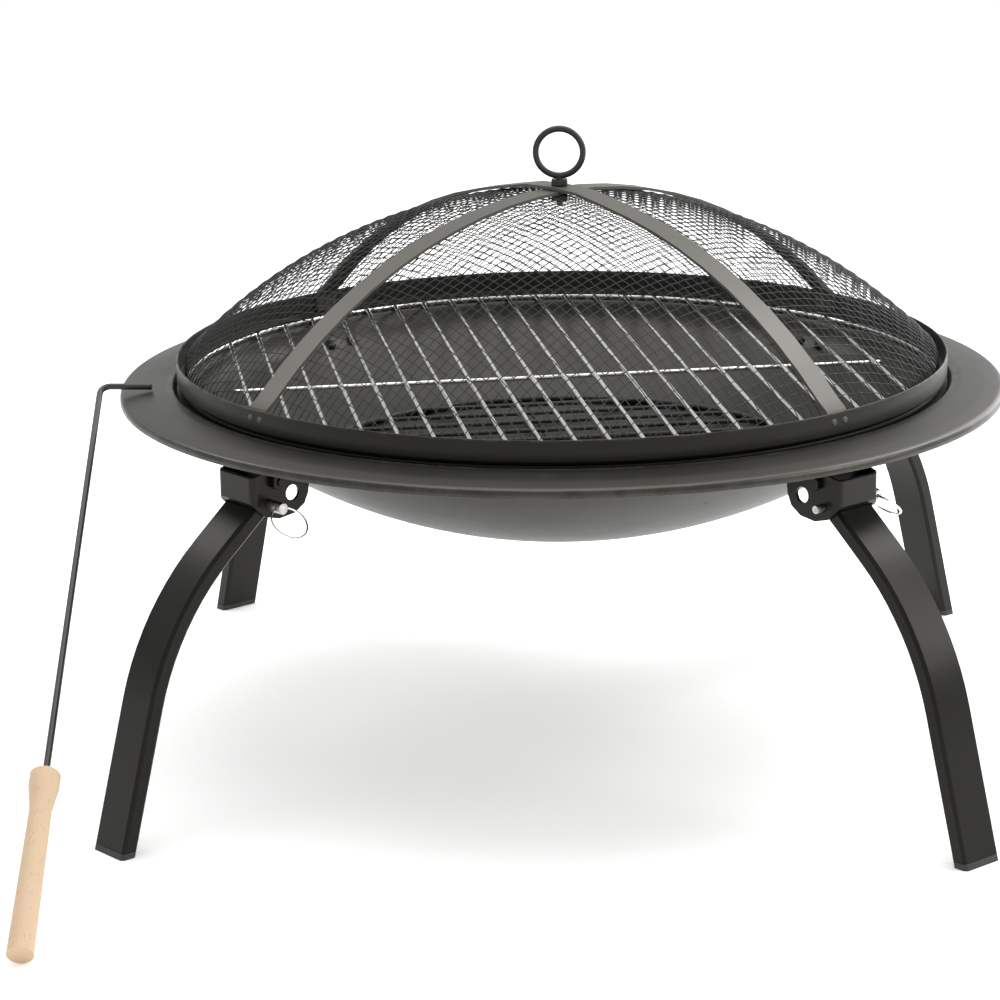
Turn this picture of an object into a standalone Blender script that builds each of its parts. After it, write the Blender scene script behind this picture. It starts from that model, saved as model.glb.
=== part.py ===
"""Round fire pit: pressed bowl on four folding legs, two grates, a lift-off spark screen and a poker."""

import math

import bmesh
import bpy
from mathutils import Matrix, Vector

for old in list(bpy.data.objects):
    bpy.data.objects.remove(old, do_unlink=True)

# Sizes are in metres. Heights are above the floor, radii are from the bowl's upright axis.
GAP = 0.0003  # between pieces that touch
RUN = 0.0003  # room round a pin or bolt
STEPS = 52  # facets of the large round pieces, with a flat one facing each leg

RIM_RADIUS = 0.280
RIM_HEIGHT = 0.230
BOWL_DEPTH = 0.095
SHEET = 0.0015
FLANGE_WIDTH = 0.0363
FLANGE_RISE = 0.0042
LEDGE_WIDTH = 0.0090

RING_WIRE = 0.0020  # radius of a grate's ring, and of its wires below
GRATE_WIRE = 0.0015
COOKING_PITCH = 0.0202
COOKING_WIRES = 21
COOKING_TURN = math.radians(102.2)
CHARCOAL_DROP = 0.052
CHARCOAL_PITCH = 0.0240
CHARCOAL_TURN = math.radians(12.0)

BAND_HEIGHT = 0.0145
BAND_SHEET = 0.0012
HEM = 0.0067
DOME_RISE = 0.1014
MESH_SHEET = 0.0008
STRAP_WIDTH = 0.0160
STRAP_SHEET = 0.0018
RIVET = 0.0015
RIVET_ASIDE = 0.0045

EYE_RADIUS = 0.0148
EYE_WIRE = 0.0020
NUT_HEIGHT = 0.0038
NUT_FLATS = 0.0050

LEG_WIDTH = 0.0300
LEG_DEPTH = 0.0110
LEG_WALL = 0.0014
PIVOT_INSET = 0.0375  # in from the rim
PIVOT_DROP = 0.0202  # below the rim
PIN_REACH = 0.0150  # pivot to lock pin
PIN_TILT = math.radians(-71.0)
FOLD = math.radians(70.0)
KNEE_SPREAD = 0.0388  # out from the rim
KNEE_HEIGHT = 0.1375
KNEE_BEND = 0.1650
TOP_BEND = 0.0145  # below the pivot
FOOT_SPREAD = 0.0772
FOOT_SLAB = 0.0040
FOOT_PLUG = 0.0140
PIN = 0.0025
PIN_HEAD = 0.0035
PIN_HEAD_LENGTH = 0.0120

BRACKET_SHEET = 0.0020
BRACKET_REACH = 0.0180  # pivot to the outer wall's face
BRACKET_RIVET_ASIDE = 0.0095
STOW_HOLE = 0.0050

LOOP_RADIUS = 0.0115
LOOP_WIRE = 0.00070
LOOP_SWING = math.radians(50)  # the split ring sits tight in its hole and stands off to the side

POKER_ROD = 0.0020
POKER_ARM = 0.0323
POKER_CLEAR = 0.0067  # rim to the upright rod
POKER_ASIDE = 0.0533
POKER_FOOT = (-0.274, -0.426)
HANDLE_LENGTH = 0.126
HANDLE_END = 0.0077
HANDLE_COLLAR = 0.0088
SOCKET = 0.060

# Sizes that follow from the ones above and that more than one piece reads.
facet = math.cos(math.pi / STEPS)
bowl_edge = RIM_RADIUS - FLANGE_WIDTH
crest_radius = bowl_edge + 0.0033
ledge_outer = bowl_edge + 0.0008
ledge_inner = ledge_outer - LEDGE_WIDTH
ledge_top = RIM_HEIGHT + 0.0008
bowl_outer = (bowl_edge**2 + BOWL_DEPTH**2) / (2 * BOWL_DEPTH)
bowl_centre = RIM_HEIGHT - BOWL_DEPTH + bowl_outer
pivot_radius = RIM_RADIUS - PIVOT_INSET
pivot_height = RIM_HEIGHT - PIVOT_DROP
cheek_inner = LEG_WIDTH / 2 + GAP
cheek_outer = cheek_inner + BRACKET_SHEET
pin_x = PIN_REACH * math.cos(PIN_TILT)
pin_z = PIN_REACH * math.sin(PIN_TILT)
corners = [math.radians(45 + 90 * k) for k in range(4)]

BLACK = (0.020, 0.020, 0.019)
GREY = (0.090, 0.090, 0.085)
STEEL = (0.35, 0.35, 0.34)
CHROME = (0.62, 0.62, 0.60)
WOOD = (0.62, 0.42, 0.22)

model = bpy.data.collections.new("fire_pit")
bpy.context.scene.collection.children.link(model)
origin = bpy.data.objects.new("fire_pit_origin", None)
model.objects.link(origin)


def baked(data, modifiers=()):
    """The mesh that a curve or mesh gives with these modifiers on it, welded and facing outward."""
    obj = bpy.data.objects.new("shape", data)
    bpy.context.scene.collection.objects.link(obj)
    for kind, settings in modifiers:
        modifier = obj.modifiers.new(kind, kind)
        for setting, value in settings.items():
            setattr(modifier, setting, value)
    graph = bpy.context.evaluated_depsgraph_get()
    mesh = bpy.data.meshes.new_from_object(obj.evaluated_get(graph))
    bpy.data.objects.remove(obj, do_unlink=True)
    bm = bmesh.new()
    bm.from_mesh(mesh)
    bmesh.ops.remove_doubles(bm, verts=bm.verts, dist=1e-6)
    bmesh.ops.recalc_face_normals(bm, faces=bm.faces)
    bm.to_mesh(mesh)
    bm.free()
    return mesh


def sheet(thickness, offset=0.0):
    return ("SOLIDIFY", {"thickness": thickness, "offset": offset, "use_even_offset": True})


def curve(paths, closed=False, flat=False, **settings):
    """A curve through each path's points. A flat one lies in XY, and a closed flat one is filled."""
    data = bpy.data.curves.new("path", "CURVE")
    data.dimensions = "2D" if flat else "3D"
    data.fill_mode = "BOTH" if flat and closed else "FULL" if not flat else "NONE"
    data.use_fill_caps = not closed and not flat
    for path in paths:
        spline = data.splines.new("POLY")
        spline.points.add(len(path) - 1)
        for point, place in zip(spline.points, path):
            point.co = (*place, *([0] * (3 - len(place))), 1)
        spline.use_cyclic_u = closed
    for setting, value in settings.items():
        setattr(data, setting, value)
    return data


def moved(mesh, matrix):
    copy = mesh.copy()
    copy.transform(matrix)
    return copy


# Flat paths are drawn as (radius, height) in XY, and this stands them up in XZ.
UPRIGHT = Matrix.Rotation(math.pi / 2, 4, "X")


def turned(profile, steps, thickness=0.0):
    """A profile of (radius, height) points turned about the upright axis, as a solid or a sheet."""
    bm = bmesh.new()
    points = [bm.verts.new((r, 0, z)) for r, z in profile]
    for pair in zip(points, points[1:]):
        bm.edges.new(pair)
    if not thickness and profile[0][0] > 0:
        bm.edges.new((points[-1], points[0]))
    outline = bpy.data.meshes.new("profile")
    bm.to_mesh(outline)
    bm.free()
    screw = {"steps": steps, "render_steps": steps, "use_merge_vertices": True, "merge_threshold": 1e-5}
    extra = [sheet(thickness)] if thickness else []
    return baked(outline, [("SCREW", screw)] + extra)


def rod(start, end, radius, sides=10):
    start, end = Vector(start), Vector(end)
    bm = bmesh.new()
    place = Matrix.Translation((start + end) / 2) @ (end - start).to_track_quat("Z", "Y").to_matrix().to_4x4()
    length = (end - start).length
    bmesh.ops.create_cone(
        bm, cap_ends=True, segments=sides, radius1=radius, radius2=radius, depth=length, matrix=place
    )
    mesh = bpy.data.meshes.new("rod")
    bm.to_mesh(mesh)
    bm.free()
    return mesh


def block(low, high, place=Matrix()):
    low, high = Vector(low), Vector(high)
    bm = bmesh.new()
    size = Matrix.Diagonal((*(high - low), 1))
    bmesh.ops.create_cube(bm, size=1, matrix=place @ Matrix.Translation((low + high) / 2) @ size)
    mesh = bpy.data.meshes.new("block")
    bm.to_mesh(mesh)
    bm.free()
    return mesh


def hoop(radius, wire, steps, fineness):
    """A closed wire ring lying flat round the origin."""
    turns = [2 * math.pi * (k + 0.5) / steps for k in range(steps)]
    path = [(radius * math.cos(a), radius * math.sin(a)) for a in turns]
    return baked(curve([path], closed=True, bevel_depth=wire, bevel_resolution=fineness))


def rounded_box(depth, width, corner):
    """Outline of a rectangle centred on zero, each corner cut back to two points."""
    points = []
    for quarter, (sx, sy) in enumerate(((1, 1), (-1, 1), (-1, -1), (1, -1))):
        for a in (math.radians(90 * quarter + 20), math.radians(90 * quarter + 70)):
            x = sx * (depth / 2 - corner) + corner * math.cos(a)
            points.append((x, sy * (width / 2 - corner) + corner * math.sin(a)))
    return points


def filleted(path, radius, steps):
    """The flat path with each inner corner turned into an arc."""
    path = [Vector(point).to_3d() for point in path]
    result = [path[0]]
    for before, corner, after in zip(path, path[1:], path[2:]):
        into, out = (corner - before).normalized(), (after - corner).normalized()
        turn = into.angle(out)
        centre = corner + (out - into).normalized() * (radius / math.cos(turn / 2))
        start = corner - into * radius * math.tan(turn / 2) - centre
        spin = into.cross(out).normalized()
        result += [centre + Matrix.Rotation(turn * k / steps, 3, spin) @ start for k in range(steps + 1)]
    return result + [path[-1]]


def combined(body, tools, operation):
    """The body joined with, cut by or kept inside each tool in turn."""
    helpers = [bpy.data.objects.new("cutter", tool) for tool in tools]
    for helper in helpers:
        bpy.context.scene.collection.objects.link(helper)
    cuts = [("BOOLEAN", {"operation": operation, "object": helper}) for helper in helpers]
    result = baked(body, cuts)
    for helper in helpers:
        bpy.data.objects.remove(helper, do_unlink=True)
    return result


def add(name, mesh, colour, metallic, roughness, place=Matrix(), parent=None):
    """Puts a piece in the model with a material of its own."""
    obj = bpy.data.objects.new(name, mesh.copy())
    model.objects.link(obj)
    obj.parent = parent or origin
    obj.matrix_local = place
    obj.data.shade_smooth()
    obj.data.set_sharp_from_angle(angle=math.radians(35))
    paint = bpy.data.materials.new(name)
    paint.use_nodes = True
    shader = paint.node_tree.nodes["Principled BSDF"]
    shader.inputs["Base Color"].default_value = (*colour, 1)
    shader.inputs["Metallic"].default_value = metallic
    shader.inputs["Roughness"].default_value = roughness
    obj.data.materials.clear()
    obj.data.materials.append(paint)
    return obj


def at(turn, radius=0.0, height=0.0):
    """A place on the given azimuth, where X points outward and Y runs anticlockwise."""
    return Matrix.Rotation(turn, 4, "Z") @ Matrix.Translation((radius, 0, height))


# The bowl is one pressed sheet: a round bottom, a step and a ledge for the cooking grate, then a flange
# that slopes down to a turned-under lip.
middle = bowl_outer - SHEET / 2
slope = math.asin((ledge_inner - 0.0042) / middle)
bowl_angles = [slope * k / 9 for k in range(10)]
bowl_path = [(middle * math.sin(a), bowl_centre - middle * math.cos(a)) for a in bowl_angles]
ledge_middle = ledge_top - SHEET / 2
bowl_path += [
    (ledge_inner - 0.0016, ledge_middle - 0.0024),
    (ledge_inner, ledge_middle),
    (ledge_outer, ledge_middle),
    (ledge_outer + 0.0012, ledge_middle + 0.0016),
    (crest_radius, RIM_HEIGHT + FLANGE_RISE - SHEET / 2),
    (crest_radius + 0.0060, RIM_HEIGHT + FLANGE_RISE - SHEET / 2 - 0.0002),
    (RIM_RADIUS - 0.0130, RIM_HEIGHT + 0.0022 - SHEET / 2),
    (RIM_RADIUS - 0.0035, RIM_HEIGHT - 0.0002),
    (RIM_RADIUS - 0.0014, RIM_HEIGHT - 0.0010),
    (RIM_RADIUS - SHEET / 2, RIM_HEIGHT - 0.0026),
    (RIM_RADIUS - SHEET / 2, RIM_HEIGHT - 0.0050),
]

# Each bracket's back plate lies against the bowl and is held by two rivets through both.
plate_radius = pivot_radius - 0.0160
plate_height = bowl_centre - math.sqrt(bowl_outer**2 - plate_radius**2)
plate_out = Vector((plate_radius, 0, plate_height - bowl_centre)).normalized()
plate_up = Vector((-plate_out.z, 0, plate_out.x))
plate_spot = Vector((plate_radius, 0, plate_height))
bowl_sag = plate_radius * (1 - facet) + middle * (1 - math.cos(slope / 18))
rivet_sag = BRACKET_RIVET_ASIDE**2 / (2 * bowl_outer)
rivet_spots = [
    plate_spot + Vector((0, side * BRACKET_RIVET_ASIDE, 0)) - plate_out * rivet_sag for side in (-1, 1)
]
rivet_holes = [rod(spot - plate_out * 0.01, spot + plate_out * 0.01, PIN + RUN) for spot in rivet_spots]
bowl_holes = [moved(hole, at(turn)) for turn in corners for hole in rivet_holes]
bowl = combined(turned(bowl_path, STEPS, SHEET), bowl_holes, "DIFFERENCE")
add("fire_bowl", bowl, BLACK, 0.2, 0.45)


def grate(radius, height, pitch, count, turn):
    """A wire ring with parallel wires let into it and one stay welded under them."""
    wires = []
    for k in range(count):
        offset = (k - (count - 1) / 2) * pitch
        half = math.sqrt(radius**2 - offset**2)
        wires.append([(-half, offset, 0), (half, offset, 0)])
    reach = (count - 1) / 2 * pitch + 0.006
    low = -1.55 * GRATE_WIRE
    stay = [[(0, -reach, low), (0, reach, low)]]
    tools = [baked(curve(paths, bevel_depth=GRATE_WIRE, bevel_resolution=1)) for paths in (wires, stay)]
    mesh = combined(hoop(radius, RING_WIRE, STEPS, 1), tools, "UNION")
    return moved(mesh, Matrix.Translation((0, 0, height)) @ Matrix.Rotation(turn, 4, "Z"))


# The charcoal grate lies low in the bowl where its ring meets the round wall.
charcoal_height = RIM_HEIGHT - CHARCOAL_DROP
charcoal_rest = bowl_outer - SHEET - GAP - RING_WIRE
charcoal_radius = math.sqrt(charcoal_rest**2 - (bowl_centre - charcoal_height) ** 2) * facet
charcoal_count = 2 * int((charcoal_radius - 0.012) / CHARCOAL_PITCH) + 1
charcoal = grate(charcoal_radius, charcoal_height, CHARCOAL_PITCH, charcoal_count, CHARCOAL_TURN)
add("charcoal_grate", charcoal, BLACK, 0.5, 0.5)

# The cooking grate lies on the ledge.
cooking_height = ledge_top + GAP + RING_WIRE
cooking_radius = ledge_outer - 0.0053
cooking = grate(cooking_radius, cooking_height, COOKING_PITCH, COOKING_WIRES, COOKING_TURN)
add("cooking_grate", cooking, CHROME, 1.0, 0.2)

# The spark screen stands on the cooking grate's ring. Its band has a turned-in hem at the foot.
band_bottom = cooking_height + RING_WIRE + GAP
band_outer = ledge_outer - 0.0006
band_top = band_bottom + BAND_HEIGHT
band_path = [
    (band_outer - HEM, band_bottom + BAND_SHEET / 2),
    (band_outer - 0.0016, band_bottom + BAND_SHEET / 2),
    (band_outer - BAND_SHEET / 2, band_bottom + 0.0016),
    (band_outer - BAND_SHEET / 2, band_top),
]
tab_outer = (band_outer - BAND_SHEET) * facet - GAP
tab_middle = tab_outer - STRAP_SHEET / 2
rivet_height = band_bottom + 0.0090


def strap_rivet_hole(side, sign):
    spot = Vector((side * band_outer, sign * RIVET_ASIDE, rivet_height))
    return rod(spot - Vector((0.006, 0, 0)), spot + Vector((0.006, 0, 0)), RIVET + RUN / 2, 8)


strap_holes = [strap_rivet_hole(side, sign) for side in (-1, 1) for sign in (-1, 1)]
band_holes = [moved(hole, at(turn)) for turn in corners[:2] for hole in strap_holes]
band = combined(turned(band_path, STEPS, BAND_SHEET), band_holes, "DIFFERENCE")
add("screen_band", band, BLACK, 0.2, 0.45)

# The woven dome is a thin closed sheet whose edge runs straight down inside the strap tabs.
skirt_middle = tab_outer - STRAP_SHEET - GAP - MESH_SHEET / 2
dome_base = band_top - 0.0022
dome_radius = (skirt_middle**2 + DOME_RISE**2) / (2 * DOME_RISE)
dome_centre = dome_base + DOME_RISE - dome_radius
dome_spread = math.asin(skirt_middle / dome_radius)
dome_angles = [dome_spread * k / 10 for k in range(11)]
dome_path = [(dome_radius * math.sin(a), dome_centre + dome_radius * math.cos(a)) for a in dome_angles]
dome_path.append((skirt_middle, band_bottom + BAND_SHEET + GAP))
eye_hole = rod((0, 0, dome_base), (0, 0, dome_base + 1.5 * DOME_RISE), EYE_WIRE + RUN)
screen = combined(turned(dome_path, STEPS, MESH_SHEET), [eye_hole], "DIFFERENCE")
add("screen_mesh", screen, BLACK, 0.4, 0.6)


def strap(lift, turn):
    """A flat bar over the dome, raised by lift at the crown, with a tab down inside the band at each end."""
    bend = dome_spread - 0.0085 / dome_radius
    crown = dome_radius + MESH_SHEET / 2 + GAP + STRAP_SHEET / 2
    half = []
    for k in range(1, 12):
        a = bend * k / 11
        away = crown + lift * min(max((0.155 - a) / 0.065, 0), 1)
        half.append((away * math.sin(a), dome_centre + away * math.cos(a)))
    half.append((tab_middle - 0.0006, band_top + 0.0005))
    half.append((tab_middle, dome_base))
    half.append((tab_middle, band_bottom + BAND_SHEET + 2 * GAP))
    path = [(-x, z) for x, z in half[::-1]] + [(0, dome_centre + crown + lift)] + half
    bar = baked(baked(curve([path], flat=True, extrude=STRAP_WIDTH / 2)), [sheet(STRAP_SHEET)])
    return moved(combined(moved(bar, UPRIGHT), [eye_hole] + strap_holes, "DIFFERENCE"), at(turn))


add("strap_lower", strap(0, corners[0]), GREY, 0.3, 0.5)
add("strap_upper", strap(STRAP_SHEET + GAP, corners[1]), GREY, 0.3, 0.5)

# Two small rivets at each strap end go through the band and the tab.
grip = GAP + BAND_SHEET * facet + GAP + STRAP_SHEET
strap_rivet = turned(
    [(0, 0.0012), (0.0016, 0.0009), (0.0024, 0), (RIVET, 0), (RIVET, -grip), (0, -grip)], 8
)
for k, turn in enumerate(corners):
    for side, sign in enumerate((-1, 1)):
        face = Matrix.Translation((band_outer * facet + GAP, sign * RIVET_ASIDE, rivet_height))
        place = at(turn) @ face @ Matrix.Rotation(math.pi / 2, 4, "Y")
        add(f"strap_rivet_{2 * k + side + 1}", strap_rivet, GREY, 0.3, 0.5, place)

# The lifting eye is a ring on a threaded shank, held by a nut above the straps and one under the mesh.
strap_top = dome_centre + dome_radius + MESH_SHEET / 2 + 2 * (GAP + STRAP_SHEET)
upper_nut = strap_top + GAP
lower_nut = dome_centre + dome_radius - MESH_SHEET / 2 - GAP - NUT_HEIGHT
eye_height = upper_nut + NUT_HEIGHT + GAP + EYE_RADIUS + EYE_WIRE
eye_ring = moved(hoop(EYE_RADIUS, EYE_WIRE, 32, 2), Matrix.Translation((0, 0, eye_height)) @ UPRIGHT)
shank = rod((0, 0, lower_nut - 0.003), (0, 0, eye_height - EYE_RADIUS), EYE_WIRE, 8)
add("handle_eye", combined(eye_ring, [shank], "UNION"), STEEL, 0.8, 0.35)


def nut(height, bore):
    body = rod((0, 0, 0), (0, 0, height), NUT_FLATS / math.cos(math.pi / 6), 6)
    return combined(body, [rod((0, 0, -0.01), (0, 0, height + 0.01), bore)], "DIFFERENCE")


eye_nut = nut(NUT_HEIGHT, EYE_WIRE + RUN / 2)
add("handle_nut_upper", eye_nut, STEEL, 0.8, 0.35, Matrix.Translation((0, 0, upper_nut)))
add("handle_nut_lower", eye_nut, STEEL, 0.8, 0.35, Matrix.Translation((0, 0, lower_nut)))

# A bracket, drawn round its pivot, is a strip bent into a U, trimmed to a rounded cheek on each side, with a
# plate across the back.
to_pivot = Matrix.Translation((-pivot_radius, 0, -pivot_height))
plate_middle = to_pivot @ plate_spot + plate_out * (GAP + BRACKET_SHEET / 2)
plate_high = plate_middle + plate_up * 0.0090
plate_low = plate_middle - plate_up * 0.0120
cheek_outline = [
    (BRACKET_REACH + 0.002, 0.0030),
    (0.0120, 0.0052),
    (0.0030, 0.0078),
    (plate_high.x, plate_high.z),
    (plate_low.x, plate_low.z),
    (-0.0236, -0.0110),
    (-0.0205, -0.0175),
    (-0.0130, -0.0222),
    (-0.0013, -0.0236),
    (0.0090, -0.0208),
    (0.0155, -0.0150),
    (BRACKET_REACH + 0.002, -0.0093),
]
cheek_middle = cheek_inner + BRACKET_SHEET / 2
wall_middle = BRACKET_REACH - BRACKET_SHEET / 2
strip_path = [
    (-0.05, -cheek_middle),
    (wall_middle, -cheek_middle),
    (wall_middle, cheek_middle),
    (-0.05, cheek_middle),
]
strip = baked(curve([filleted(strip_path, 0.0032, 3)], flat=True, extrude=0.04))
strip = baked(strip, [sheet(BRACKET_SHEET)])
side = moved(baked(curve([cheek_outline], closed=True, flat=True, extrude=0.04)), UPRIGHT)
bracket = combined(strip, [side], "INTERSECT")
plate_turn = Matrix((plate_up, (0, -1, 0), plate_out)).transposed().to_4x4()
plate_place = Matrix.Translation(plate_middle) @ plate_turn
plate_half = cheek_outer - 0.0004
plate = block((-0.0128, -plate_half, -BRACKET_SHEET / 2), (0.0098, plate_half, BRACKET_SHEET / 2))
bracket = combined(bracket, [moved(plate, plate_place)], "UNION")
reach = cheek_outer + 0.01
pivot_hole = rod((0, -reach, 0), (0, reach, 0), PIN + RUN)
pin_hole = rod((pin_x, -reach, pin_z), (pin_x, reach, pin_z), PIN + RUN)
stow_x = PIN_REACH * math.cos(PIN_TILT - FOLD)
stow_z = PIN_REACH * math.sin(PIN_TILT - FOLD)
stow_hole = rod((stow_x, -reach, stow_z), (stow_x, reach, stow_z), STOW_HOLE, 14)
drills = [pivot_hole, pin_hole, stow_hole] + [moved(hole, to_pivot) for hole in rivet_holes]
bracket = combined(bracket, drills, "DIFFERENCE")

# Bracket rivets have a low head inside the bowl and a flatter one under the plate.
head_in = SHEET + bowl_sag + GAP
grip = head_in + GAP + BRACKET_SHEET + GAP
bracket_rivet = turned(
    [
        (0, 0.0022),
        (0.0026, 0.0017),
        (0.0042, 0),
        (PIN, 0),
        (PIN, -grip),
        (0.0038, -grip),
        (0, -grip - 0.0016),
    ],
    10,
)

# A leg, drawn round its pivot, is a flat tube bent twice. Its foot is cut level, and above the lock pin it
# has an open hook in place of a closed hole, so the pin and the fold don't bind.
top = Vector((math.cos(PIN_TILT), math.sin(PIN_TILT), 0))
knee = (RIM_RADIUS + KNEE_SPREAD - pivot_radius, KNEE_HEIGHT - pivot_height, 0)
foot_radius = RIM_RADIUS + FOOT_SPREAD - pivot_radius
foot_end = Vector((foot_radius, -pivot_height, 0))
leg_path = filleted([-top * 0.006, top * TOP_BEND, knee], 0.010, 4)[:-1]
leg_path += filleted([top * TOP_BEND, knee, foot_end], KNEE_BEND, 10)[1:]
down = (foot_end - leg_path[-2]).normalized()
leg_path[-1] = foot_end + down * 0.006
outside = rounded_box(LEG_DEPTH, LEG_WIDTH, 0.0032)
inside = rounded_box(LEG_DEPTH - 2 * (LEG_WALL + GAP), LEG_WIDTH - 2 * (LEG_WALL + GAP), 0.0015)
section = bpy.data.objects.new("section", curve([outside], closed=True, flat=True, fill_mode="NONE"))
bpy.context.scene.collection.objects.link(section)
tube = baked(curve([leg_path], flat=True, bevel_mode="OBJECT", bevel_object=section))
bpy.data.objects.remove(section, do_unlink=True)
tube = moved(baked(tube, [sheet(LEG_WALL, -1)]), UPRIGHT)
level = FOOT_SLAB + GAP - pivot_height
leg = combined(tube, [block((-0.1, -0.1, level), (0.3, 0.1, 0.1))], "INTERSECT")
hook_turns = [PIN_TILT + math.radians(45) * k / 8 for k in range(9)]
hook = [(PIN_REACH * math.cos(a), PIN_REACH * math.sin(a)) for a in hook_turns]
slot = baked(baked(curve([hook], flat=True, extrude=LEG_WIDTH)), [sheet(2 * (PIN + RUN))])
leg = combined(leg, [pivot_hole, pin_hole, moved(slot, UPRIGHT)], "DIFFERENCE")

# A foot cap is a level slab under the tube with a plug up inside it, both leaning with the leg.
lean = Matrix(((-down.y, 0, down.x), (0, 1, 0), (down.x, 0, down.y))).to_4x4()
lean.translation = (foot_end.x, 0, foot_end.y)
sole = moved(baked(curve([outside], closed=True, flat=True, extrude=0.02)), lean)
sole = combined(sole, [block((0, -0.1, -pivot_height), (0.3, 0.1, level - GAP))], "INTERSECT")
plug = moved(baked(curve([inside], closed=True, flat=True, extrude=0.04)), lean)
plug = combined(plug, [block((0, -0.1, level - 0.002), (0.3, 0.1, FOOT_PLUG - pivot_height))], "INTERSECT")
foot_cap = combined(sole, [plug], "UNION")

# The lock pin slides out along its own length. A split ring hangs from the cross hole in its head.
head_start = cheek_outer + GAP
loop_at = head_start + PIN_HEAD_LENGTH - 0.0032
head = rod((0, head_start, 0), (0, head_start + PIN_HEAD_LENGTH, 0), PIN_HEAD)
lock_pin = combined(rod((0, -cheek_outer - 0.006, 0), (0, head_start + 0.001, 0), PIN), [head], "UNION")
lock_pin = combined(lock_pin, [rod((-0.01, loop_at, 0), (0.01, loop_at, 0), 0.0012)], "DIFFERENCE")
loop_drop = Matrix.Translation((0, 0, 0.00025 - LOOP_RADIUS))
loop = moved(hoop(LOOP_RADIUS, LOOP_WIRE, 20, 1), Matrix.Rotation(LOOP_SWING, 4, "X") @ loop_drop @ UPRIGHT)

# The leg turns on a bolt through both cheeks, with its nut on the pin's side.
bolt_head = -cheek_outer - GAP
shank = rod((0, bolt_head - 0.001, 0), (0, cheek_outer + 0.0055, 0), PIN)
pivot_bolt = combined(shank, [rod((0, bolt_head - 0.0030, 0), (0, bolt_head, 0), 0.0046, 6)], "UNION")
pivot_nut = moved(nut(0.0040, PIN + RUN / 2), Matrix.Rotation(-math.pi / 2, 4, "X"))

for k, turn in enumerate(corners, 1):
    pivot = at(turn, pivot_radius, pivot_height)
    add(f"bracket_{k}", bracket, BLACK, 0.2, 0.45, pivot)
    for side, spot in zip("ab", rivet_spots):
        inward = (-plate_out).to_track_quat("Z", "Y").to_matrix().to_4x4()
        place = at(turn) @ Matrix.Translation(spot - plate_out * head_in) @ inward
        add(f"bracket_rivet_{k}{side}", bracket_rivet, BLACK, 0.2, 0.45, place)
    add(f"pivot_bolt_{k}", pivot_bolt, BLACK, 0.2, 0.4, pivot)
    place = pivot @ Matrix.Translation((0, cheek_outer + GAP, 0))
    add(f"pivot_nut_{k}", pivot_nut, BLACK, 0.2, 0.4, place)
    leg_part = add(f"leg_{k}", leg, BLACK, 0.2, 0.45, pivot)
    add(f"foot_cap_{k}", foot_cap, BLACK, 0.0, 0.6, parent=leg_part)
    place = pivot @ Matrix.Translation((pin_x, 0, pin_z))
    pin_part = add(f"lock_pin_{k}", lock_pin, STEEL, 1.0, 0.25, place)
    add(f"pin_ring_{k}", loop, CHROME, 1.0, 0.25, Matrix.Translation((0, loop_at, 0)), pin_part)

# The poker leans on the flange: a rod bent at the top, with a turned wooden handle that stands on the floor.
elbow_x = -RIM_RADIUS - POKER_CLEAR
tip_radius = math.hypot(elbow_x + POKER_ARM, POKER_ASIDE)
flange_fall = (FLANGE_RISE - 0.0022) / (RIM_RADIUS - 0.0190 - crest_radius)
arm_height = RIM_HEIGHT + 0.0022 + flange_fall * (RIM_RADIUS - 0.0130 - tip_radius) + POKER_ROD + 2 * GAP
tip = Vector((elbow_x + POKER_ARM, -POKER_ASIDE, arm_height))
elbow = Vector((elbow_x, -POKER_ASIDE, arm_height))
foot = Vector((*POKER_FOOT, 0))
for _ in range(4):
    lie = (foot - elbow).normalized()
    foot.z = HANDLE_END * math.sqrt(1 - lie.z**2)
handle_top = foot - lie * HANDLE_LENGTH
rod_path = filleted([tip, elbow, handle_top + lie * SOCKET], 0.006, 4)
add("poker_rod", baked(curve([rod_path], bevel_depth=POKER_ROD, bevel_resolution=3)), BLACK, 0.3, 0.4)
handle_shape = [
    (HANDLE_COLLAR - 0.0010, 0),
    (HANDLE_COLLAR, 0.0010),
    (HANDLE_COLLAR, 0.0095),
    (HANDLE_COLLAR - 0.0009, 0.0150),
    (HANDLE_COLLAR - 0.0024, 0.0260),
    (HANDLE_COLLAR - 0.0023, 0.0400),
    (HANDLE_END - 0.0007, 0.0750),
    (HANDLE_END, HANDLE_LENGTH),
    (0, HANDLE_LENGTH),
    (0, SOCKET + 2 * GAP),
    (POKER_ROD + GAP, SOCKET + 2 * GAP),
    (POKER_ROD + GAP, 0),
]
place = Matrix.Translation(handle_top) @ lie.to_track_quat("Z", "Y").to_matrix().to_4x4()
add("poker_handle", turned(handle_shape, 20), WOOD, 0.0, 0.5, place)

# The origin goes to the middle of the floor area that the whole thing covers.
bpy.context.view_layer.update()
spread = [o.matrix_world @ v.co for o in model.objects if o.type == "MESH" for v in o.data.vertices]
for axis in (0, 1):
    values = [point[axis] for point in spread]
    origin.location[axis] = -(min(values) + max(values)) / 2
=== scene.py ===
import math

import bmesh
import bpy
from mathutils import Matrix, Vector


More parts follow.
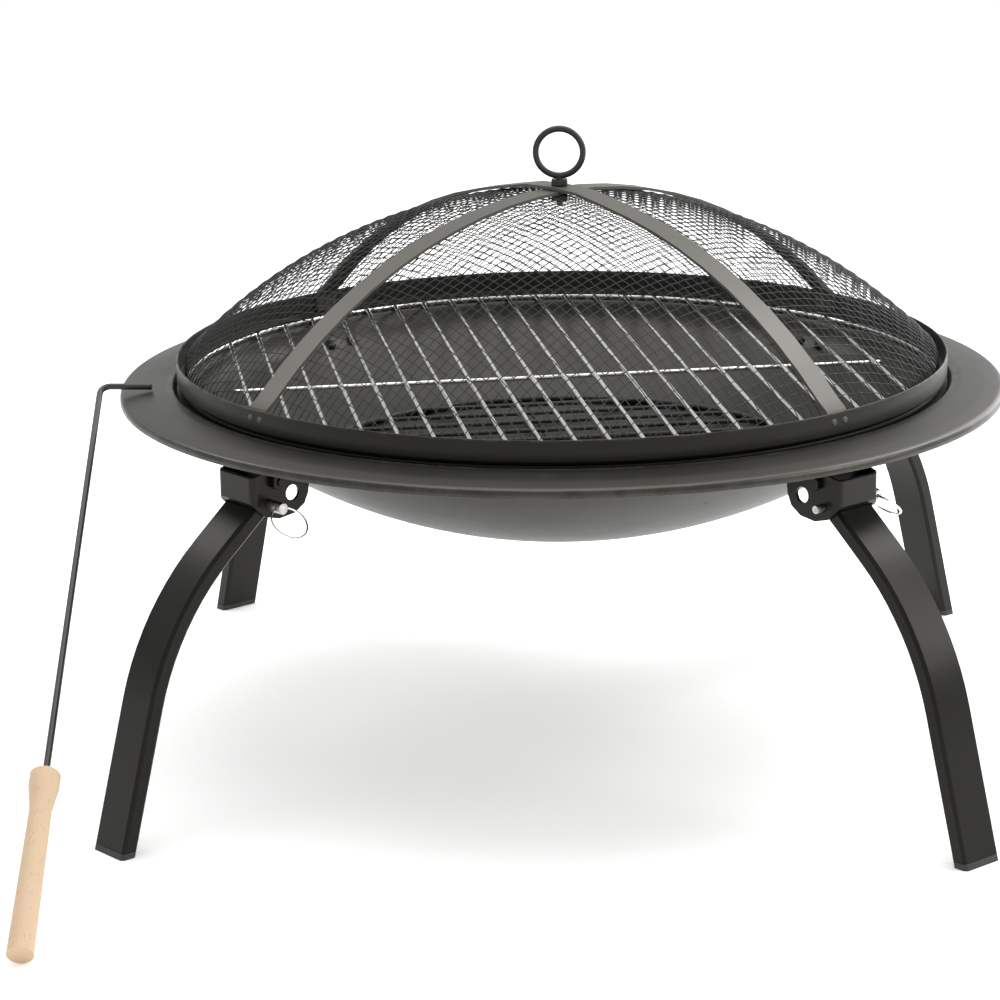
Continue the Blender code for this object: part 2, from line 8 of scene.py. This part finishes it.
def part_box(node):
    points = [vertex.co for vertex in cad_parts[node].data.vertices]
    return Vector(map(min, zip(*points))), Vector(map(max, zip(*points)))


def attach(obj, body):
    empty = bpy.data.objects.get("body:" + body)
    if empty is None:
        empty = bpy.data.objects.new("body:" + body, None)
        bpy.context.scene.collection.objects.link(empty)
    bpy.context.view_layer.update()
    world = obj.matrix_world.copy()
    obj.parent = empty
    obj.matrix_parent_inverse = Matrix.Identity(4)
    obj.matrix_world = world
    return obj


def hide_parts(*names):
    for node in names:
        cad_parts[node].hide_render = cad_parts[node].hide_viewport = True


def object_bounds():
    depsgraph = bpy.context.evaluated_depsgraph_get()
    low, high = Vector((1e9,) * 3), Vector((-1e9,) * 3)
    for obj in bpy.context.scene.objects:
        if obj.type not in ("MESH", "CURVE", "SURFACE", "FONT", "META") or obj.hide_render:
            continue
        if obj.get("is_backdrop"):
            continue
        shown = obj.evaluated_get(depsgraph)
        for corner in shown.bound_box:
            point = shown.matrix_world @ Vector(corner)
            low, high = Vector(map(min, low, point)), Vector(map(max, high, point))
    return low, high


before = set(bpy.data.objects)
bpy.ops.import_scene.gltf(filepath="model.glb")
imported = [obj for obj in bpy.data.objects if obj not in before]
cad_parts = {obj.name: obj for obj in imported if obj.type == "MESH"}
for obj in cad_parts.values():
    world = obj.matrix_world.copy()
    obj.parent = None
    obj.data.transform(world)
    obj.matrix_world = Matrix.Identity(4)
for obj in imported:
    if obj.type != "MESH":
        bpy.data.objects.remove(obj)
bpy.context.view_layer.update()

# The bowl: one steel disc pressed into a round bottom, a step and a ledge for the cooking grate, and a
# flange that falls to a turned-under lip. It is sprayed with heat-proof black paint, which is slightly
# pebbled, dusty where hands and tongs touch it and rubbed along the crest and the lip.
bowl_low, bowl_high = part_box("fire_bowl")
axis = Vector(((bowl_low.x + bowl_high.x) / 2, (bowl_low.y + bowl_high.y) / 2, 0))
rim = (bowl_high.x - bowl_low.x) / 2
rim_height = bowl_high.z - 0.0042
bowl_edge = rim - 0.0363
ledge = rim_height + 0.0008
bowl_round = (bowl_edge**2 + (rim_height - bowl_low.z) ** 2) / (2 * (rim_height - bowl_low.z))
bowl_middle = bowl_low.z + bowl_round


class Flow:
    """A value on its way through a material. Sums on it add the nodes that work them out."""

    def __init__(self, tree, socket):
        self.tree, self.socket = tree, socket

    def node(self, kind, settings=None, inputs=None, out=0):
        made = self.tree.nodes.new("ShaderNode" + kind)
        for name, value in (settings or {}).items():
            setattr(made, name, value)
        for name, value in (inputs or {}).items():
            if isinstance(value, Flow):
                self.tree.links.new(value.socket, made.inputs[name])
            else:
                made.inputs[name].default_value = value
        return Flow(self.tree, made.outputs[out])

    def sum(self, work, other, back=False):
        pair = {0: other, 1: self} if back else {0: self, 1: other}
        return self.node("Math", {"operation": work}, pair)

    def __add__(self, other):
        return self.sum("ADD", other)

    __radd__ = __add__

    def __sub__(self, other):
        return self.sum("SUBTRACT", other)

    def __rsub__(self, other):
        return self.sum("SUBTRACT", other, True)

    def __mul__(self, other):
        return self.sum("MULTIPLY", other)

    __rmul__ = __mul__

    def most(self, other):
        return self.sum("MAXIMUM", other)

    def step(self, low, high):
        """0 below low and 1 above high, easing between them."""
        ends = {"Value": self, "From Min": low, "From Max": high}
        return self.node("MapRange", {"interpolation_type": "SMOOTHSTEP"}, ends)

    def noise(self, scale, detail, rough):
        inputs = {"Vector": self, "Scale": scale, "Detail": detail, "Roughness": rough}
        return self.node("TexNoise", {}, inputs)

    def blend(self, low, high):
        """The colour low where this is 0 and high where it is 1."""
        low, high = (shade if isinstance(shade, Flow) else (*shade, 1) for shade in (low, high))
        return self.node("Mix", {"data_type": "RGBA"}, {0: self, 6: low, 7: high}, 2)

    def bump(self, height, strength, distance):
        inputs = {"Height": height, "Strength": strength, "Distance": distance}
        self.shader("Normal", self.node("Bump", {}, inputs))

    def shader(self, name, value):
        self.tree.links.new(value.socket, self.tree.nodes["Principled BSDF"].inputs[name])


def finish(name, **fixed):
    """A new material and the object's own coordinates in it."""
    material = bpy.data.materials.new(name)
    material.use_nodes = True
    shader = material.node_tree.nodes["Principled BSDF"]
    for socket, value in fixed.items():
        shader.inputs[socket.replace("_", " ")].default_value = value
    coords = material.node_tree.nodes.new("ShaderNodeTexCoord")
    return material, Flow(material.node_tree, coords.outputs["Object"])


def heat_paint(name, shade, dust, gloss, wear=None, shine=0.5):
    """Sprayed stove paint: a fine pebble, a cloudy warm sheen, pale dust, and rubbed places."""
    material, where = finish(name, Specular_IOR_Level=shine, Specular_Tint=(1, 0.955, 0.86, 1))
    cloud = where.noise(9, 4, 0.6).step(0.35, 0.7)
    speck = where.noise(900, 2, 0.6)
    dusty = where.noise(45, 5, 0.7).step(0.55, 0.8) * where.noise(260, 3, 0.7).step(0.45, 0.7)
    colour = (cloud * 0.5 + speck * 0.5).blend(shade, [c * 1.35 for c in shade])
    colour = (dusty * 0.35).blend(colour, dust)
    rough = gloss + cloud * 0.07 + dusty * 0.18 + speck * 0.05
    if wear:
        rubbed = wear(where) * where.noise(60, 5, 0.75).step(0.42, 0.62)
        colour = (rubbed * 0.6).blend(colour, [c * 3.2 + 0.03 for c in shade])
        rough = rough - rubbed * 0.1
    where.shader("Base Color", colour)
    where.shader("Roughness", rough)
    where.bump(speck * 0.6 + where.noise(330, 2, 0.5) * 0.4, 0.12, 0.0003)
    return material


def from_axis(where):
    """Distance from the bowl's upright axis."""
    split = where.node("VectorMath", {"operation": "SUBTRACT"}, {0: where, 1: axis})
    flat = where.node("VectorMath", {"operation": "MULTIPLY"}, {0: split, 1: (1, 1, 0)})
    return where.node("VectorMath", {"operation": "LENGTH"}, {0: flat}, "Value")


def bowl_wear(where):
    away = from_axis(where)
    lip = away.step(rim - 0.0026, rim - 0.0004) * 0.5
    inside = away.step(bowl_edge + 0.0015, bowl_edge + 0.0030)
    crest = inside * (1 - away.step(bowl_edge + 0.0045, rim - 0.028))
    return lip.most(crest * 0.8)


def place(name, bm, material, body, stands_for, smooth=35):
    """Puts a shape in the scene as a finished piece of a body."""
    mesh = bpy.data.meshes.new(name)
    bm.to_mesh(mesh)
    bm.free()
    mesh.shade_smooth()
    mesh.set_sharp_from_angle(angle=math.radians(smooth))
    piece = bpy.data.objects.new(name, mesh)
    bpy.context.scene.collection.objects.link(piece)
    mesh.materials.append(material)
    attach(piece, body)
    if stands_for:
        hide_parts(*stands_for)
    return piece


def turn(profile, centre, steps):
    """Spins a profile of (radius, height) points round an upright line."""
    bm = bmesh.new()
    line = [bm.verts.new((centre.x + r, centre.y, centre.z + z)) for r, z in profile]
    edges = [bm.edges.new(pair) for pair in zip(line, line[1:])]
    bmesh.ops.spin(
        bm, geom=line + edges, cent=centre, axis=(0, 0, 1), angle=2 * math.pi, steps=steps, use_merge=True
    )
    bmesh.ops.remove_doubles(bm, verts=bm.verts, dist=1e-6)
    bmesh.ops.recalc_face_normals(bm, faces=bm.faces)
    return bm


def rounded(points, size):
    """The same line of points with its inner corners rounded off."""
    bm = bmesh.new()
    line = [bm.verts.new((x, y, 0)) for x, y in points]
    edges = [bm.edges.new(pair) for pair in zip(line, line[1:])]
    settings = {"segments": 3, "profile": 0.5, "affect": "VERTICES", "clamp_overlap": True, "material": -1}
    bmesh.ops.bevel(bm, geom=line[1:-1], offset=size, **settings)
    bm.verts.ensure_lookup_table()
    ends = [v for v in bm.verts if len(v.link_edges) == 1]
    here = min(ends, key=lambda v: (v.co - Vector((*points[0], 0))).length)
    path, last = [here], None
    while True:
        nexts = [e.other_vert(here) for e in here.link_edges if e.other_vert(here) is not last]
        if not nexts:
            break
        last, here = here, nexts[0]
        path.append(here)
    out = [(v.co.x, v.co.y) for v in path]
    bm.free()
    return out


def roll(piece, thickness):
    """Gives a bent line of metal its thickness and rolls its edges over."""
    wall = piece.modifiers.new("wall", "SOLIDIFY")
    wall.thickness, wall.offset, wall.use_even_offset = thickness, 0, True
    edge = piece.modifiers.new("rolled_edge", "BEVEL")
    edge.width, edge.segments = 0.0004, 2
    edge.limit_method, edge.angle_limit = "ANGLE", math.radians(60)


sheet, ledge_width, flange_rise, lip_drop = 0.0015, 0.0090, 0.0042, 0.0050
middle = bowl_round - sheet / 2
reach = math.asin((bowl_edge + 0.0008 - ledge_width - 0.0042) / middle)
arc = [reach * k / 24 for k in range(25)]
bottom = [(middle * math.sin(a), bowl_middle - middle * math.cos(a)) for a in arc]
step_up = rounded(
    [
        bottom[-1],
        (bowl_edge - 0.0098, ledge - sheet / 2 - 0.0024),
        (bowl_edge - 0.0082, ledge - sheet / 2),
        (bowl_edge + 0.0008, ledge - sheet / 2),
        (bowl_edge + 0.0020, ledge - sheet / 2 + 0.0016),
        (bowl_edge + 0.0033, rim_height + flange_rise - sheet / 2),
        (bowl_edge + 0.0093, rim_height + 0.0040 - sheet / 2),
        (rim - 0.0130, rim_height + 0.0022 - sheet / 2),
        (rim - 0.0035, rim_height - 0.0002),
        (rim - 0.0014, rim_height - 0.0010),
        (rim - sheet / 2, rim_height - 0.0026),
        (rim - sheet / 2, rim_height - lip_drop),
    ],
    0.0007,
)
black_paint = heat_paint("bowl_black", (0.009, 0.0088, 0.0068), (0.05, 0.047, 0.039), 0.30, bowl_wear)
bowl = place(
    "bowl", turn(bottom[:-1] + step_up, axis, 224), black_paint, "pit", ["fire_bowl"], 60
)
roll(bowl, sheet)


# The two grates: steel wire rings with parallel wires spot-welded across them and one stay underneath. The
# cooking grate is chrome-plated, with the outer side of its ring painted near black as painted shade for the
# dark gap under the band. The charcoal grate is dipped black and lies where the bowl's wall meets it.
def rods(name, lines, radius, sides=3):
    """Round rods along lines of points, with filled ends, as a bmesh."""
    path = bpy.data.curves.new(name, "CURVE")
    path.dimensions = "3D"
    path.bevel_depth, path.bevel_resolution, path.use_fill_caps = radius, sides, True
    for line, cyclic in lines:
        spline = path.splines.new("POLY")
        spline.points.add(len(line) - 1)
        for point, spot in zip(spline.points, line):
            point.co = (*spot, 1)
        spline.use_cyclic_u = cyclic
    holder = bpy.data.objects.new(name, path)
    mesh = bpy.data.meshes.new_from_object(holder)
    bm = bmesh.new()
    bm.from_mesh(mesh)
    bmesh.ops.remove_doubles(bm, verts=bm.verts, dist=1e-7)
    bpy.data.objects.remove(holder)
    bpy.data.curves.remove(path)
    bpy.data.meshes.remove(mesh)
    return bm


def grate(name, node, pitch, count, turned, material, body):
    low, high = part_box(node)
    radius, height = (high.x - low.x) / 2 - ring_wire, high.z - ring_wire
    spin = Matrix.Rotation(turned, 3, "Z")
    middle = axis + Vector((0, 0, height))
    ring = [middle + spin @ Vector((radius * math.cos(a), radius * math.sin(a), 0)) for a in ring_angles]
    lines = []
    for k in range(count):
        aside = (k - (count - 1) / 2) * pitch
        half = math.sqrt(radius**2 - aside**2) - weld
        lines.append(([middle + spin @ Vector((x, aside, 0.0002)) for x in (-half, 0, half)], False))
    over = (count - 1) / 2 * pitch + stay_end
    lines.append(([middle + spin @ Vector((0, y, -1.55 * bar_wire)) for y in (-over, 0, over)], False))
    bm = rods(name, lines, bar_wire)
    welded = rods(name + "_ring", [(ring, True)], ring_wire, 4)
    loop = bpy.data.meshes.new(name)
    welded.to_mesh(loop)
    welded.free()
    bm.from_mesh(loop)
    bpy.data.meshes.remove(loop)
    place(name, bm, material, body, [node], 60)


ring_wire, bar_wire, weld, stay_end = 0.0020, 0.0015, 0.0004, 0.006
ring_angles = [2 * math.pi * k / 160 for k in range(160)]
chrome, where = finish("bright_chrome", Metallic=1.0)
stain = where.noise(55, 4, 0.6).step(0.5, 0.75)
ring_low, ring_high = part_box("cooking_grate")
ring_middle = (ring_high.x - ring_low.x) / 2 - ring_wire
height = where.node("SeparateXYZ", {}, {0: where}, "Z")
# Painted shade: the outer side of the cooking grate's ring, in the gap under the band, is painted near black
# and made rougher.
outside = from_axis(where).step(ring_middle - 0.0008, ring_middle + 0.0006)
painted_shade_and_soot = outside * height.step(ring_low.z - 0.006, ring_low.z - 0.003)
bright = stain.blend((0.93, 0.92, 0.90), (0.70, 0.67, 0.61))
where.shader("Base Color", painted_shade_and_soot.blend(bright, (0.03, 0.029, 0.026)))
where.shader("Roughness", 0.12 + stain * 0.14 + where.noise(700, 2, 0.5) * 0.05 + painted_shade_and_soot * 0.4)
where.bump(where.noise(500, 2, 0.5), 0.10, 0.0002)

dipped, where = finish("dipped_black")
# On the dipped grate this mask is only soot, in random darker patches.
painted_shade_and_soot = where.noise(30, 4, 0.65).step(0.4, 0.7)
where.shader("Base Color", painted_shade_and_soot.blend((0.020, 0.020, 0.019), (0.045, 0.042, 0.038)))
where.shader("Roughness", 0.42 + painted_shade_and_soot * 0.25)
where.bump(where.noise(600, 3, 0.6), 0.25, 0.0003)

turned, across = math.radians(12.0), math.radians(102.2)
grate("charcoal_wires", "charcoal_grate", 0.0240, 13, turned, dipped, "charcoal")
grate("cooking_wires", "cooking_grate", 0.0202, 21, across, chrome, "cooking")

# The spark screen's band: a rolled strip with a turned-in hem at the foot, painted like the bowl. It stands
# on the cooking grate's ring and its upper edge is rubbed.
band_low, band_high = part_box("screen_band")
band = (band_high.x - band_low.x) / 2
band_sheet, hem = 0.0012, 0.0067
strip = rounded(
    [
        (band - hem, band_low.z + band_sheet / 2),
        (band - 0.0016, band_low.z + band_sheet / 2),
        (band - band_sheet / 2, band_low.z + 0.0016),
        (band - band_sheet / 2, band_high.z),
    ],
    0.0006,
)


def band_wear(where):
    height = where.node("SeparateXYZ", {}, {0: where}, "Z")
    return height.step(band_high.z - 0.0016, band_high.z - 0.0003)


band_paint = heat_paint("band_black", (0.006, 0.006, 0.0050), (0.03, 0.029, 0.025), 0.32, band_wear, 0.3)
hoop = place("band", turn(strip, axis, 224), band_paint, "screen", ["screen_band"], 60)
roll(hoop, band_sheet)

# The dome: black steel wire cloth, plain weave, pressed to a shallow dome with its wires parallel to the two
# straps. Each wire goes over and under its neighbours, and its ends are folded down inside the band.
dome_low, dome_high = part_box("screen_mesh")
half_sheet, inside_band, folded_end = 0.0004, 0.0022, 0.0085
skirt = (dome_high.x - dome_low.x) / 2 - half_sheet
dome_base = band_high.z - inside_band
rise = dome_high.z - half_sheet - dome_base
dome_round = (skirt**2 + rise**2) / (2 * rise)
wire, pitch, wires = 0.00029, 0.0057, 82
cloth_round = dome_round - 0.0003
cloth_middle = axis + Vector((0, 0, dome_high.z - half_sheet - dome_round))


def cloth(name, direction, parity, stands_for):
    spin = Matrix.Rotation(direction, 3, "Z")
    lines = []
    for i in range(wires):
        aside = (i - (wires - 1) / 2) * pitch
        half = math.sqrt((skirt - 0.001) ** 2 - aside**2)
        line = []
        for k in range(2 * wires - 1):
            along = (k - (wires - 1)) * pitch / 2
            if abs(along) > half - 0.001:
                continue
            crossing = 0 if k % 2 else (1 if (i + k // 2) % 2 == parity else -1)
            away = cloth_round + crossing * wire
            up = math.sqrt(cloth_round**2 - aside**2 - along**2)
            line.append(spin @ (Vector((along, aside, up)) * (away / cloth_round)) + cloth_middle)
        first = spin @ Vector((-half, aside, dome_base - 0.001)) + axis
        last = spin @ Vector((half, aside, dome_base - 0.001)) + axis
        drop = Vector((0, 0, -folded_end))
        lines.append(([first + drop, first] + line + [last, last + drop], False))
    place(name, rods(name, lines, wire, 1), wire_black, "screen", stands_for, 80)


wire_black, where = finish("wire_black", Specular_IOR_Level=0.35)
# On the wire cloth this mask is only soot, in random darker patches.
painted_shade_and_soot = where.noise(14, 4, 0.6).step(0.4, 0.7)
where.shader("Base Color", painted_shade_and_soot.blend((0.008, 0.008, 0.008), (0.022, 0.021, 0.020)))
where.shader("Roughness", 0.38 + painted_shade_and_soot * 0.2)
where.bump(where.noise(900, 2, 0.5), 0.1, 0.0002)
cloth("cloth_warp", math.radians(45), 0, ["screen_mesh"])
cloth("cloth_weft", math.radians(135), 1, [])


# The two straps: flat steel bars bent over the dome and riveted inside the band, painted a shade greyer.
# Small pressed pieces keep the solid's own shape, with their seams merged and their sharp edges eased.
def eased(name, node, material, body, ease=0.0003, sharp=30):
    """The solid's own shape, merged, with edges sharper than the given angle eased."""
    bm = bmesh.new()
    bm.from_mesh(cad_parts[node].data)
    bmesh.ops.remove_doubles(bm, verts=bm.verts, dist=2e-6)
    bmesh.ops.dissolve_limit(bm, angle_limit=math.radians(0.6), verts=bm.verts, edges=bm.edges)
    if ease:
        steep = math.radians(sharp + 15)
        folded = [e for e in bm.edges if e.is_manifold and e.calc_face_angle() > steep]
        hard = [e for e in folded if e.calc_length() > ease]
        settings = {"segments": 2, "profile": 0.5, "affect": "EDGES", "clamp_overlap": True, "material": -1}
        bmesh.ops.bevel(bm, geom=hard, offset=ease, **settings)
    piece = place(name, bm, material, body, [node], sharp)
    flats = piece.modifiers.new("flats", "WEIGHTED_NORMAL")
    flats.keep_sharp = True


grey_paint = heat_paint("strap_grey", (0.062, 0.060, 0.053), (0.16, 0.155, 0.14), 0.40)
for which in ("lower", "upper"):
    eased(f"strap_{which}_bar", f"strap_{which}", grey_paint, "screen")
for k in range(1, 9):
    eased(f"strap_rivet_{k}_head", f"strap_rivet_{k}", grey_paint, "screen", 0)

# The lifting eye: a ring bent from steel rod with a threaded shank, and a nut on each side of the straps,
# all blackened.
eye_low, eye_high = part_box("handle_eye")
eye_wire, eye_ring = 0.0020, 0.0148
eye_middle = axis + Vector((0, 0, eye_high.z - eye_wire - eye_ring))
blacked = heat_paint("blackened_steel", (0.010, 0.010, 0.010), (0.04, 0.038, 0.035), 0.28)
eye_angles = [2 * math.pi * k / 72 for k in range(72)]
eye_spots = [eye_middle + Vector((math.sin(a), 0, -math.cos(a))) * eye_ring for a in eye_angles]
bm = rods("eye", [(eye_spots, True)], eye_wire, 5)
below = Matrix.Translation((axis.x, axis.y, eye_low.z))
shank = bmesh.ops.create_circle(bm, cap_ends=True, segments=20, radius=eye_wire, matrix=below)["verts"]
grown = bmesh.ops.extrude_face_region(bm, geom=list({f for v in shank for f in v.link_faces}))["geom"]
rise = eye_middle.z - eye_ring - eye_low.z
bmesh.ops.translate(bm, vec=(0, 0, rise), verts=[g for g in grown if isinstance(g, bmesh.types.BMVert)])
bmesh.ops.recalc_face_normals(bm, faces=bm.faces)
place("lifting_eye", bm, blacked, "screen", ["handle_eye"])
for which in ("upper", "lower"):
    eased(f"eye_nut_{which}", f"handle_nut_{which}", blacked, "screen")

# Each leg is a flat steel tube bent twice, closed at the foot by a black cap and held between the cheeks of
# a pressed bracket that two rivets fix to the bowl. It turns on a bolt and is locked by a pin.
leg_paint = heat_paint("leg_black", (0.0030, 0.0030, 0.0025), (0.016, 0.015, 0.013), 0.27, shine=0.24)
bracket_paint = heat_paint("bracket_black", (0.0030, 0.0030, 0.0026), (0.016, 0.015, 0.013), 0.25, shine=0.26)
plated, where = finish("plated_steel", Metallic=1.0)
dull = where.noise(220, 4, 0.6).step(0.35, 0.7)
where.shader("Base Color", dull.blend((0.60, 0.59, 0.57), (0.33, 0.32, 0.30)))
where.shader("Roughness", 0.24 + dull * 0.2)
where.bump(where.noise(1500, 2, 0.5), 0.1, 0.0002)
cap_black, where = finish("cap_black")
scuff = where.noise(160, 4, 0.7).step(0.5, 0.75)
where.shader("Base Color", scuff.blend((0.016, 0.016, 0.016), (0.05, 0.05, 0.048)))
where.shader("Roughness", 0.5 + scuff * 0.2)
where.bump(where.noise(800, 3, 0.6), 0.2, 0.0003)
for k in range(1, 5):
    eased(f"bracket_{k}_press", f"bracket_{k}", bracket_paint, "pit", 0.0004, 35)
    for side in "ab":
        rivet = f"bracket_rivet_{k}{side}"
        eased(f"{rivet}_head", rivet, bracket_paint, "pit", 0)
    eased(f"pivot_bolt_{k}_shank", f"pivot_bolt_{k}", bracket_paint, "pit", 0.0002)
    eased(f"pivot_nut_{k}_hex", f"pivot_nut_{k}", bracket_paint, "pit", 0.0002)
    eased(f"leg_{k}_tube", f"leg_{k}", leg_paint, f"leg{k}", 0, 35)
    eased(f"foot_cap_{k}_plug", f"foot_cap_{k}", cap_black, f"leg{k}", 0.0003)
    eased(f"lock_pin_{k}_rod", f"lock_pin_{k}", plated, f"pin{k}", 0.0002)

# A split ring of spring wire, coiled nearly twice, sits tight in the cross hole in each pin's head and
# stands off to the side.
coil_radius, coil_wire, coil_rise = 0.0115, 0.00050, 0.0010
swung, up = math.radians(50), Vector((0, 0, 1))
for k in range(1, 5):
    low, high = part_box(f"pin_ring_{k}")
    turned = math.radians(45 + 90 * (k - 1))
    out = Vector((math.cos(turned), math.sin(turned), 0))
    side = up.cross(out)
    reach = side * math.sin(swung) - up * math.cos(swung)
    normal = side * math.cos(swung) + up * math.sin(swung)
    hole = (low + high) / 2 - reach * coil_radius
    coil = []
    for n in range(92):
        a = math.radians(95) + 2 * math.pi * n / 48
        coil.append(
            hole
            + (out * math.cos(a) + reach * (1 + math.sin(a))) * coil_radius
            + normal * (coil_rise * (n / 91 - 0.5))
        )
    ring = rods("coil", [(coil, False)], coil_wire, 2)
    place(f"split_ring_{k}", ring, chrome, f"ring{k}", [f"pin_ring_{k}"], 60)

# The poker: a steel rod with its hook bent flat over the bowl's flange, driven into a turned beech handle
# with a collar. The wood is bare, with long grain and short darker flecks.
rod_paint = heat_paint("rod_black", (0.016, 0.016, 0.017), (0.06, 0.058, 0.055), 0.30)
eased("poker_bar", "poker_rod", rod_paint, "poker", 0, 50)
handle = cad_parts["poker_handle"].data
low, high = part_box("poker_handle")
tops = [v.co for v in handle.vertices if v.co.z > high.z - 0.004]
feet = [v.co for v in handle.vertices if v.co.z < low.z + 0.004]
top = sum(tops, Vector()) / len(tops)
foot = sum(feet, Vector()) / len(feet)
lie = (top - foot).normalized()
beech, where = finish("bare_beech")
turned = lie.to_track_quat("X", "Z").to_euler()
upended = {"rotation_type": "EULER_XYZ", "invert": True}
along = where.node("VectorRotate", upended, {"Vector": where, "Rotation": turned})
long_way = along.node("Mapping", {}, {"Vector": along, "Scale": (9, 160, 160)})
grain = long_way.noise(1.6, 6, 0.6)
short_way = along.node("Mapping", {}, {"Vector": along, "Scale": (180, 1500, 1500)})
fleck = short_way.noise(1.0, 2, 0.5).step(0.62, 0.72)
ring_lines = (grain * 9).sum("SINE", 0).step(-0.2, 1.0)
colour = ring_lines.blend((0.60, 0.435, 0.285), (0.49, 0.34, 0.21))
colour = (fleck * 0.55).blend(colour, (0.27, 0.15, 0.075))
where.shader("Base Color", colour)
where.shader("Roughness", 0.52 + grain * 0.16)
where.bump(ring_lines * 0.5 + fleck * 0.5, 0.12, 0.0003)
eased("handle_turned", "poker_handle", beech, "poker", 0, 40)

# A pale light table for a floor, lit a little from below, and even, soft light from large panels, with the
# camera in front and a little above.
floor = bmesh.new()
bmesh.ops.create_grid(floor, x_segments=1, y_segments=1, size=40)
ground = bpy.data.meshes.new("floor")
floor.to_mesh(ground)
floor.free()
stand = bpy.data.objects.new("floor", ground)
bpy.context.scene.collection.objects.link(stand)
pale, where = finish("pale_floor", Roughness=0.9, Specular_IOR_Level=0.1, Emission_Strength=0.3)
tone = where.noise(3, 2, 0.5).blend((0.90, 0.90, 0.895), (0.93, 0.93, 0.925))
where.shader("Base Color", tone)
where.shader("Emission Color", tone)
ground.materials.append(pale)
stand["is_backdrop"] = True

world = bpy.context.scene.world or bpy.data.worlds.new("studio")
bpy.context.scene.world = world
world.use_nodes = True
world.node_tree.nodes["Background"].inputs["Color"].default_value = (1, 1, 1, 1)
world.node_tree.nodes["Background"].inputs["Strength"].default_value = 0.72
bpy.context.scene.view_settings.view_transform = "Standard"

heading = math.radians(4.2078)
face_on = Matrix.Rotation(heading, 3, "Z")


def panel(name, spot, aim, size, power):
    light = bpy.data.lights.new(name, "AREA")
    light.shape, light.energy = "RECTANGLE", power
    light.size, light.size_y = size
    lamp = bpy.data.objects.new(name, light)
    lamp.location = axis + face_on @ Vector(spot)
    lamp.rotation_mode = "QUATERNION"
    lamp.rotation_quaternion = (axis + Vector(aim) - lamp.location).to_track_quat("-Z", "Y")
    bpy.context.scene.collection.objects.link(lamp)


panel("overhead", (0, 0.2, 2.3), (0, 0, 0.2), (2.0, 2.0), 30)
panel("back_right", (1.7, 1.9, 0.9), (0, 0, 0.25), (1.6, 1.5), 22)
panel("right", (1.9, -0.5, 1.3), (0, 0, 0.25), (1.2, 1.2), 20)
panel("high_left", (-1.5, 1.0, 1.9), (0, 0, 0.25), (0.8, 0.8), 9)
panel("high_right", (1.5, 1.0, 1.9), (0, 0, 0.25), (0.8, 0.8), 20)

tilt, roll = 0.26385, -0.01406
ahead = Vector((0, math.cos(tilt), -math.sin(tilt)))
above = Vector((0, math.sin(tilt), math.cos(tilt)))
right = math.cos(roll) * Vector((1, 0, 0)) + math.sin(roll) * above
upright = -math.sin(roll) * Vector((1, 0, 0)) + math.cos(roll) * above
view = bpy.data.cameras.new("camera")
view.sensor_width, view.lens = 36, 127.57
camera = bpy.data.objects.new("camera", view)
stand_at = axis + face_on @ Vector((-0.04017, -2.2, 0.74393))
looking = face_on @ Matrix((right, upright, -ahead)).transposed()
camera.matrix_world = Matrix.Translation(stand_at) @ looking.to_4x4()
bpy.context.scene.collection.objects.link(camera)
bpy.context.scene.camera = camera
view.clip_start, view.clip_end = 0.05, 60

low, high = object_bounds()
